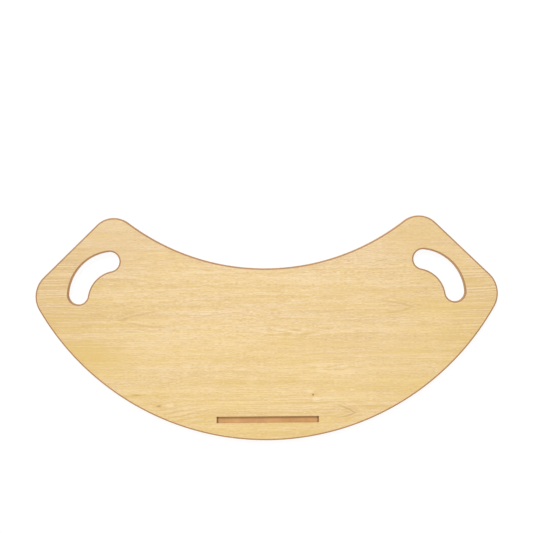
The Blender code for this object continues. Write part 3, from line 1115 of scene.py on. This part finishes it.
class LAPDESK_OT_core(Operator):
    """Build the routed fibreboard core"""

    bl_idname = "lapdesk.core"
    bl_label = "Fibreboard Core"

    def execute(self, context):
        size, finish = context.scene.lap_desk_outline, context.scene.lap_desk_finish
        low, high = CORE_LOW.z, CORE_HIGH.z
        floor = BOARD_TOP - size.groove_depth
        groove = groove_corners(size)
        levels = edge_levels(size, low, high)
        patches = layer_patches(board_paths(size), levels, MAIN, above=[groove])
        patches.append(wall_patch(groove, floor, high, OTHER))
        patches.append(flat_patch([groove], floor, UP, OTHER))
        grain = fibreboard_group()
        edge = fibreboard_material("sanded_fibreboard", grain, finish.fibre_light,
                                   finish.fibre_dark)[0]
        routed = groove_material(finish, grain, size.groove_length / 2)
        built_piece("fibreboard_core", patches, [edge, routed], "fibreboard", "core_board")
        return {"FINISHED"}


class LAPDESK_OT_sheets(Operator):
    """Build the oak sheet on top and the balancing sheet below"""

    bl_idname = "lapdesk.sheets"
    bl_label = "Oak Sheets"

    def execute(self, context):
        size, finish = context.scene.lap_desk_outline, context.scene.lap_desk_finish
        groups = oak_groups()
        edge = sheet_edge_material(finish)
        paths = board_paths(size)
        groove = groove_corners(size)
        for name, node, slot, low, high, offset in (
                ("oak_top_sheet", "top_laminate", "oak_laminate", TOP_LOW.z, TOP_HIGH.z,
                 (0.0, 0.0, 0.0)),
                ("oak_back_sheet", "bottom_laminate", "balancing_laminate", BACK_LOW.z,
                 BACK_HIGH.z, BACK_OFFSET)):
            openings = [groove] if node == "top_laminate" else []
            levels = edge_levels(size, low, high)
            patches = layer_patches(paths, levels, OTHER, openings, openings)
            patches += [wall_patch(corners, low, high, OTHER) for corners in openings]
            face = oak_material(name.replace("_sheet", "_face"), finish, groups, offset)
            built_piece(name, patches, [face, edge], slot, node)
        return {"FINISHED"}


class LAPDESK_OT_pads(Operator):
    """Build the rubber pads"""

    bl_idname = "lapdesk.pads"
    bl_label = "Rubber Pads"

    def execute(self, context):
        size = context.scene.lap_desk_outline
        rubber = rubber_material(context.scene.lap_desk_finish)
        for node, (low, high) in PADS.items():
            middle = ((low.x + high.x) / 2, (low.y + high.y) / 2)
            circle = [(middle, (high.x - low.x) / 2, 0.0, FULL_TURN, INSIDE)]
            path = outline_path(circle, size.chord_error)
            patches = layer_patches([path], pad_levels(size, low.z, high.z), MAIN)
            place = node.replace("_pad", "")
            built_piece("rubber_pad_" + place, patches, [rubber], "pad_rubber", node)
        return {"FINISHED"}


class LAPDESK_OT_stage(Operator):
    """Set up the floor, the lights and the camera"""

    bl_idname = "lapdesk.stage"
    bl_label = "Stage"

    def execute(self, context):
        scene = context.scene
        view, finish = scene.lap_desk_view, scene.lap_desk_finish
        scene.view_settings.view_transform = "Standard"
        self.add_floor(scene, white_stage_material(finish, view))
        self.add_sky(scene, view)
        self.add_sun(scene, "key_light", KEY_WAY, view.key)
        self.add_sun(scene, "fill_light", FILL_WAY, view.fill)
        self.add_top(scene, view.top)
        self.add_camera(scene, view)
        return {"FINISHED"}

    def add_floor(self, scene, material):
        """Square floor under the pads."""
        mesh = bpy.data.meshes.new("floor")
        corners = [(x * FLOOR_HALF, y * FLOOR_HALF, 0.0)
                   for x, y in ((-1, -1), (1, -1), (1, 1), (-1, 1))]
        mesh.from_pydata(corners, [], [(0, 1, 2, 3)])
        mesh.materials.append(material)
        floor = bpy.data.objects.new("floor", mesh)
        scene.collection.objects.link(floor)

    def add_sky(self, scene, view):
        """White sky that lights evenly and shows as plain white."""
        sky = bpy.data.worlds.new("white_sky")
        sky.use_nodes = True
        tree = sky.node_tree
        tree.nodes.clear()
        level = maths(tree, "MULTIPLY_ADD", seen_rays(tree), 1.0 - view.sky, view.sky)
        back = add_node(tree, "ShaderNodeBackground",
                        {"Color": (1.0, 1.0, 1.0, 1.0), "Strength": level})
        add_node(tree, "ShaderNodeOutputWorld", {"Surface": back.outputs[0]})
        scene.world = sky

    def add_sun(self, scene, name, way, strength):
        """Even light with soft shadows."""
        light = bpy.data.lights.new(name, "SUN")
        light.energy = strength
        light.angle = math.radians(SUN_SPREAD)
        lamp = bpy.data.objects.new(name, light)
        lamp.rotation_euler = Vector(way).to_track_quat("Z", "Y").to_euler()
        scene.collection.objects.link(lamp)

    def add_top(self, scene, power):
        """Soft round lamp over the board, which can't be seen itself."""
        light = bpy.data.lights.new("top_lamp", "AREA")
        light.shape = "DISK"
        light.size = LAMP_SIZE
        light.energy = power
        lamp = bpy.data.objects.new("top_lamp", light)
        lamp.location = (0.0, 0.0, LAMP_HEIGHT)
        lamp.visible_camera = False
        scene.collection.objects.link(lamp)

    def add_camera(self, scene, view):
        """Camera that looks straight down on the board."""
        data = bpy.data.cameras.new("camera")
        data.lens = view.lens
        data.sensor_width = SENSOR_WIDTH
        camera = bpy.data.objects.new("camera", data)
        camera.location = (view.camera_x, view.camera_y, BOARD_TOP + view.camera_height)
        camera.rotation_euler = (0.0, 0.0, view.camera_roll)
        scene.collection.objects.link(camera)
        scene.camera = camera


class VIEW3D_PT_lap_desk(Panel):
    """Sidebar panel with the desk's sizes, colours and building steps."""

    bl_label = "Lap Desk"
    bl_space_type = "VIEW_3D"
    bl_region_type = "UI"
    bl_category = "Lap Desk"

    def draw(self, context):
        layout = self.layout
        for operator in OPERATORS:
            layout.operator(operator.bl_idname)
        for group in (context.scene.lap_desk_outline, context.scene.lap_desk_finish,
                      context.scene.lap_desk_view):
            box = layout.box()
            for name in group.__annotations__:
                box.prop(group, name)


GROUPS = {"lap_desk_outline": LapDeskOutline, "lap_desk_finish": LapDeskFinish,
          "lap_desk_view": LapDeskView}
OPERATORS = (LAPDESK_OT_core, LAPDESK_OT_sheets, LAPDESK_OT_pads, LAPDESK_OT_stage)
CLASSES = tuple(GROUPS.values()) + OPERATORS + (VIEW3D_PT_lap_desk,)


def register():
    """Makes the properties, operators and panel known to Blender."""
    for known in CLASSES:
        bpy.utils.register_class(known)
    for name, group in GROUPS.items():
        setattr(bpy.types.Scene, name, PointerProperty(type=group))


def unregister():
    """Takes the properties, operators and panel away again."""
    for name in GROUPS:
        delattr(bpy.types.Scene, name)
    for known in reversed(CLASSES):
        bpy.utils.unregister_class(known)


def main():
    register()
    bpy.ops.lapdesk.core()
    bpy.ops.lapdesk.sheets()
    bpy.ops.lapdesk.pads()
    bpy.ops.lapdesk.stage()


if __name__ == "__main__":
    main()
